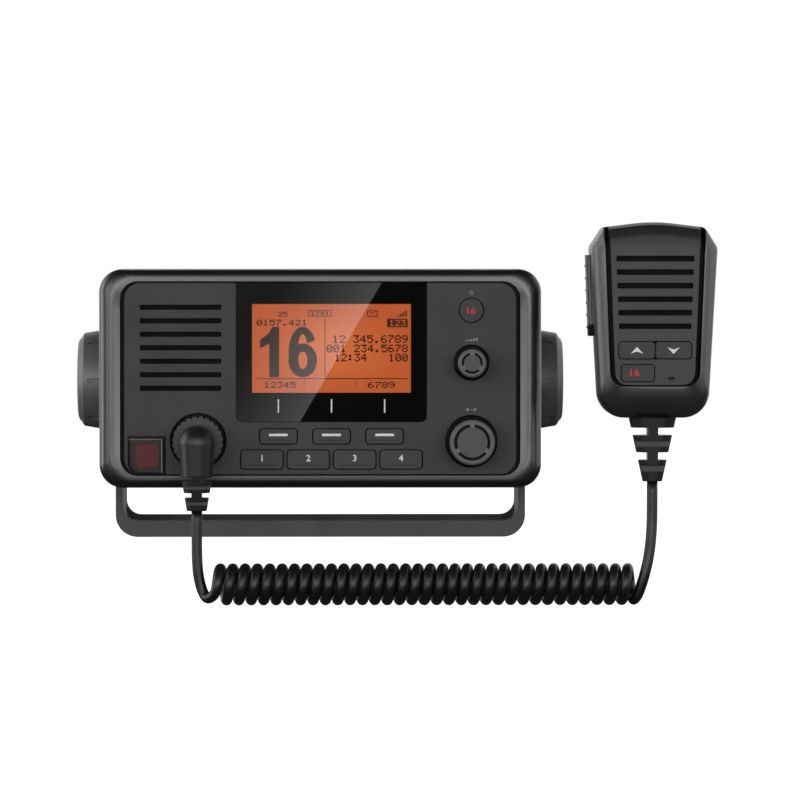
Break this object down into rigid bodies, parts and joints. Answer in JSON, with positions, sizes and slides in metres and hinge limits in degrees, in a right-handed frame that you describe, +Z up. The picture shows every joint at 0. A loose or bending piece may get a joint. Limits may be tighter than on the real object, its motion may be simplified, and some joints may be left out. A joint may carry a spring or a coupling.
{
  "type": "vhf marine radio",
  "caption": "Fixed-mount marine VHF radio on a tilting bracket, with display, keys and knobs, and a hand microphone on its hanger joined by a curly cord.",
  "frame": {"origin": "middle of the underside of the bracket's base, at the centre of its four screw holes", "axes": "+X to the right of someone facing the radio, +Y from the front panel to the rear, +Z up"},
  "size_m": [0.246, 0.1655, 0.1456],
  "materials": {
    "powder_black": "fine textured powder coat",
    "case_black": "satin moulded",
    "panel_black": "fine matt texture",
    "chassis_black": "satin paint on die casting",
    "knob_black": "satin moulded",
    "key_rubber": "matt keypad rubber with printed marks",
    "soft_rubber": "matt",
    "cord_rubber": "smooth satin jacket",
    "window": "gloss with a dark printed border",
    "lcd": "amber transflective display",
    "light_guide": "milky",
    "red_cover": "smoked translucent",
    "red_key": "matt red",
    "steel": "passivated",
    "nickel": "nickel plated",
    "brass": "as turned",
    "washer_nylon": "matt",
    "board": "solder mask",
    "component": "moulded",
    "ceramic": "glazed ceramic",
    "flat_cable": "polyester film",
    "speaker_paper": "pressed paper and steel"
  },
  "bodies": {
    "bracket": {"bracket": "powder_black", "mic_hanger": "powder_black", "cord_coil": "cord_rubber", "cord_lead_radio": "cord_rubber", "cord_lead_mic": "cord_rubber"},
    "radio": {"front_bezel": "case_black", "front_panel": "panel_black", "display_window": "window", "lcd_panel": "lcd", "lcd_backlight": "light_guide", "speaker_driver": "speaker_paper", "keypad_mat": "soft_rubber", "key_board": "board", "rotary_switches": "nickel", "mic_socket": "nickel", "plug_shell": "nickel", "plug_boot": "soft_rubber", "chassis": "chassis_black", "case_gasket": "soft_rubber", "case_screws": "steel", "main_board": "board", "rf_shield": "nickel", "board_parts": "component", "ribbon_cable": "flat_cable", "gps_antenna": "ceramic", "antenna_socket": "nickel", "rear_inlets": "component", "pivot_inserts": "brass", "friction_washers": "washer_nylon", "distress_hinge_pin": "steel"},
    "mic": {"mic_front_shell": "case_black", "mic_rear_shell": "case_black", "mic_face": "panel_black", "mic_speaker": "speaker_paper", "mic_capsule": "component", "mic_board": "board", "mic_screws": "steel", "mic_hang_button": "steel", "mic_strain_relief": "soft_rubber"},
    "soft_key_left": {"soft_key_left": "key_rubber"},
    "soft_key_middle": {"soft_key_middle": "key_rubber"},
    "soft_key_right": {"soft_key_right": "key_rubber"},
    "function_key_1": {"function_key_1": "key_rubber"},
    "function_key_2": {"function_key_2": "key_rubber"},
    "function_key_3": {"function_key_3": "key_rubber"},
    "function_key_4": {"function_key_4": "key_rubber"},
    "mic_up_key": {"mic_up_key": "key_rubber"},
    "mic_down_key": {"mic_down_key": "key_rubber"},
    "mic_channel_key": {"mic_channel_key": "key_rubber"},
    "power_key": {"power_key": "key_rubber"},
    "distress_door": {"distress_door": "red_cover"},
    "distress_key": {"distress_key": "red_key"},
    "coupling_ring": {"coupling_ring": "knob_black"},
    "clamp_knob_left": {"clamp_knob_left": "knob_black"},
    "clamp_knob_right": {"clamp_knob_right": "knob_black"},
    "volume_shaft": {"volume_shaft": "steel"},
    "volume_knob": {"volume_knob": "knob_black"},
    "select_shaft": {"select_shaft": "steel"},
    "select_knob": {"select_knob": "knob_black"},
    "ptt_bar": {"ptt_bar": "soft_rubber"}
  },
  "joints": [
    {"name": "radio_tilt", "type": "hinge", "parent": "bracket", "child": "radio", "pos_m": [0, 0, 0.0612], "axis": [1, 0, 0], "range_deg": [-15, 15], "deforming": ["cord_lead_radio"]},
    {"name": "clamp_left_turn", "type": "hinge", "parent": "radio", "child": "clamp_knob_left", "pos_m": [-0.088, 0, 0.0612], "axis": [-1, 0, 0], "continuous": true},
    {"name": "clamp_right_turn", "type": "hinge", "parent": "radio", "child": "clamp_knob_right", "pos_m": [0.088, 0, 0.0612], "axis": [1, 0, 0], "continuous": true},
    {"name": "volume_turn", "type": "hinge", "parent": "radio", "child": "volume_shaft", "pos_m": [0.058, -0.07, 0.0694], "axis": [0, 1, 0], "range_deg": [-150, 150]},
    {"name": "volume_push", "type": "slide", "parent": "volume_shaft", "child": "volume_knob", "axis": [0, 1, 0], "range_m": [0, 0.0006], "stiffness_N_per_m": 1200},
    {"name": "select_turn", "type": "hinge", "parent": "radio", "child": "select_shaft", "pos_m": [0.058, -0.07, 0.0392], "axis": [0, 1, 0], "continuous": true},
    {"name": "select_push", "type": "slide", "parent": "select_shaft", "child": "select_knob", "axis": [0, 1, 0], "range_m": [0, 0.0006], "stiffness_N_per_m": 1200},
    {"name": "soft_key_left_press", "type": "slide", "parent": "radio", "child": "soft_key_left", "axis": [0, 1, 0], "range_m": [0, 0.0008], "stiffness_N_per_m": 900},
    {"name": "soft_key_middle_press", "type": "slide", "parent": "radio", "child": "soft_key_middle", "axis": [0, 1, 0], "range_m": [0, 0.0008], "stiffness_N_per_m": 900},
    {"name": "soft_key_right_press", "type": "slide", "parent": "radio", "child": "soft_key_right", "axis": [0, 1, 0], "range_m": [0, 0.0008], "stiffness_N_per_m": 900},
    {"name": "function_key_1_press", "type": "slide", "parent": "radio", "child": "function_key_1", "axis": [0, 1, 0], "range_m": [0, 0.0008], "stiffness_N_per_m": 900},
    {"name": "function_key_2_press", "type": "slide", "parent": "radio", "child": "function_key_2", "axis": [0, 1, 0], "range_m": [0, 0.0008], "stiffness_N_per_m": 900},
    {"name": "function_key_3_press", "type": "slide", "parent": "radio", "child": "function_key_3", "axis": [0, 1, 0], "range_m": [0, 0.0008], "stiffness_N_per_m": 900},
    {"name": "function_key_4_press", "type": "slide", "parent": "radio", "child": "function_key_4", "axis": [0, 1, 0], "range_m": [0, 0.0008], "stiffness_N_per_m": 900},
    {"name": "power_key_press", "type": "slide", "parent": "radio", "child": "power_key", "axis": [0, 1, 0], "range_m": [0, 0.0008], "stiffness_N_per_m": 900},
    {"name": "distress_door_swing", "type": "hinge", "parent": "radio", "child": "distress_door", "pos_m": [-0.06665, -0.06505, 0.04], "axis": [-1, 0, 0], "range_deg": [0, 105], "stiffness_Nm_per_rad": 0.002, "springref_deg": -22.92},
    {"name": "distress_key_press", "type": "slide", "parent": "radio", "child": "distress_key", "axis": [0, 1, 0], "range_m": [0, 0.0008], "stiffness_N_per_m": 900},
    {"name": "coupling_ring_turn", "type": "hinge", "parent": "radio", "child": "coupling_ring", "pos_m": [-0.0469, -0.07, 0.0392], "axis": [0, 1, 0], "range_deg": [0, 60]},
    {"name": "mic_lift", "type": "slide", "parent": "bracket", "child": "mic", "axis": [0, 0, 1], "range_m": [0, 0.021], "deforming": ["cord_lead_mic"]},
    {"name": "ptt_press", "type": "slide", "parent": "mic", "child": "ptt_bar", "axis": [1, 0, 0], "range_m": [0, 0.0014], "stiffness_N_per_m": 1400},
    {"name": "mic_up_key_press", "type": "slide", "parent": "mic", "child": "mic_up_key", "axis": [0, 1, 0], "range_m": [0, 0.0008], "stiffness_N_per_m": 900},
    {"name": "mic_down_key_press", "type": "slide", "parent": "mic", "child": "mic_down_key", "axis": [0, 1, 0], "range_m": [0, 0.0008], "stiffness_N_per_m": 900},
    {"name": "mic_channel_key_press", "type": "slide", "parent": "mic", "child": "mic_channel_key", "axis": [0, 1, 0], "range_m": [0, 0.0008], "stiffness_N_per_m": 900}
  ]
}
